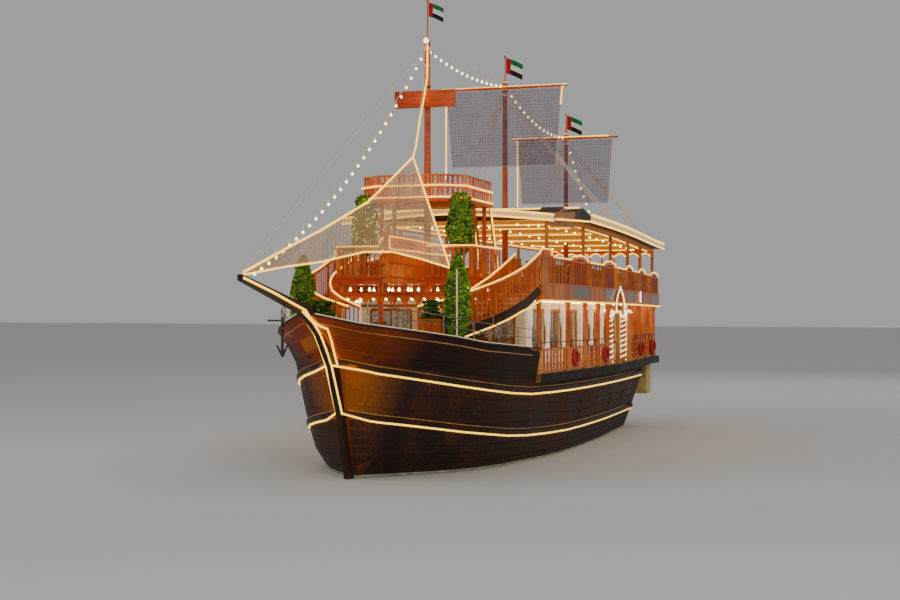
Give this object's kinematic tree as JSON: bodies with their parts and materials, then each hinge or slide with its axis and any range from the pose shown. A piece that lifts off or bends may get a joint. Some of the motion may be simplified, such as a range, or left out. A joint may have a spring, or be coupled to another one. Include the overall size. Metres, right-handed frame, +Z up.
{
  "type": "dhow sailing boat",
  "caption": "Wooden dhow fitted as a dinner-cruise boat: long prow, raised foredeck, saloon, canopied upper deck, masts with net sails and rudder.",
  "frame": {"origin": "on the centreline at the waterline, 10 m aft of the stem at the water", "axes": "-Y towards the bow, +X to port, +Z up"},
  "size_m": [8.3956, 35.69, 18.3],
  "materials": {
    "brass": "polished",
    "cream_paint": "satin",
    "dark_iron": "matte",
    "dark_wood": "oiled",
    "green_garland": "matte",
    "net_cloth": "matte",
    "red_wood": "varnished",
    "rope": "matte",
    "stainless_steel": "satin",
    "varnished_teak": "varnished",
    "window_glass": "clear"
  },
  "bodies": {
    "dhow": {"anchor": "dark_iron", "arcade_port": "red_wood", "arcade_starboard": "red_wood", "balcony": "red_wood", "balcony_front": "red_wood", "engine": "dark_iron", "foremast": "varnished_teak", "garland_port": "green_garland", "garland_starboard": "green_garland", "guard_rail_port": "stainless_steel", "guard_rail_starboard": "stainless_steel", "helm": "red_wood", "hull": "varnished_teak", "jib_net": "net_cloth", "ladder": "varnished_teak", "main_deck": "varnished_teak", "main_mast": "varnished_teak", "main_shrouds": "rope", "mizzen_mast": "varnished_teak", "mizzen_shrouds": "rope", "portal_port": "varnished_teak", "portal_starboard": "varnished_teak", "potted_tree_port": "green_garland", "potted_tree_starboard": "green_garland", "roof": "dark_wood", "roof_posts_port": "varnished_teak", "roof_posts_starboard": "varnished_teak", "saloon": "cream_paint", "saloon_glass": "window_glass", "screen_port": "red_wood", "screen_starboard": "red_wood", "sign_board": "cream_paint", "stair_landing": "varnished_teak", "stair_rail_inner_port": "red_wood", "stair_rail_inner_starboard": "red_wood", "stair_rail_outer_port": "red_wood", "stair_rail_outer_starboard": "red_wood", "stairs_port": "red_wood", "stairs_starboard": "red_wood", "stays": "rope", "stem_and_rails": "dark_wood", "stern_gallery": "cream_paint", "stern_screen": "red_wood", "top_balcony": "red_wood", "top_fence": "red_wood", "upper_deck": "varnished_teak", "windlass": "dark_iron"},
    "saloon_door_port": {"saloon_door_port": "red_wood"},
    "saloon_door_starboard": {"saloon_door_starboard": "red_wood"},
    "aft_door": {"aft_door": "red_wood"},
    "engine_hatch": {"engine_hatch": "varnished_teak"},
    "main_yard": {"main_yard": "varnished_teak", "main_net": "net_cloth"},
    "mizzen_yard": {"mizzen_yard": "varnished_teak", "mizzen_net": "net_cloth"},
    "ship_wheel": {"ship_wheel": "brass"},
    "windlass_drum": {"windlass_drum": "dark_iron"},
    "propeller": {"propeller": "brass"},
    "rudder": {"rudder": "dark_wood"}
  },
  "joints": [
    {"name": "saloon_door_port_hinge", "type": "hinge", "parent": "dhow", "child": "saloon_door_port", "pos_m": [0.8, -2.21, 4.1], "axis": [0, 0, -1], "range_deg": [0, 100]},
    {"name": "saloon_door_starboard_hinge", "type": "hinge", "parent": "dhow", "child": "saloon_door_starboard", "pos_m": [-0.8, -2.21, 4.1], "axis": [0, 0, 1], "range_deg": [0, 100]},
    {"name": "aft_door_hinge", "type": "hinge", "parent": "dhow", "child": "aft_door", "pos_m": [-0.4, 16.21, 4.1], "axis": [0, 0, 1], "range_deg": [0, 100]},
    {"name": "engine_hatch_hinge", "type": "hinge", "parent": "dhow", "child": "engine_hatch", "pos_m": [0, 6.603, 3.105], "axis": [1, 0, 0], "range_deg": [0, 95]},
    {"name": "main_yard_swing", "type": "hinge", "parent": "dhow", "child": "main_yard", "pos_m": [0, 4.43, 14.12], "axis": [0, 0, 1], "range_deg": [-20, 20]},
    {"name": "mizzen_yard_swing", "type": "hinge", "parent": "dhow", "child": "mizzen_yard", "pos_m": [0, 12.37, 12.82], "axis": [0, 0, 1], "range_deg": [-20, 20]},
    {"name": "wheel_turn", "type": "hinge", "parent": "dhow", "child": "ship_wheel", "pos_m": [0, -2.2, 7.2803], "axis": [0, 1, 0], "continuous": true},
    {"name": "windlass_turn", "type": "hinge", "parent": "dhow", "child": "windlass_drum", "pos_m": [0, -9.45, 4.32], "axis": [1, 0, 0], "continuous": true},
    {"name": "propeller_turn", "type": "hinge", "parent": "dhow", "child": "propeller", "pos_m": [0, 14.15, -1.15], "axis": [0, 0.9917, -0.1289], "continuous": true},
    {"name": "rudder_turn", "type": "hinge", "parent": "dhow", "child": "rudder", "pos_m": [0, 15.16, 0], "axis": [0, 0, 1], "range_deg": [-35, 35]}
  ]
}
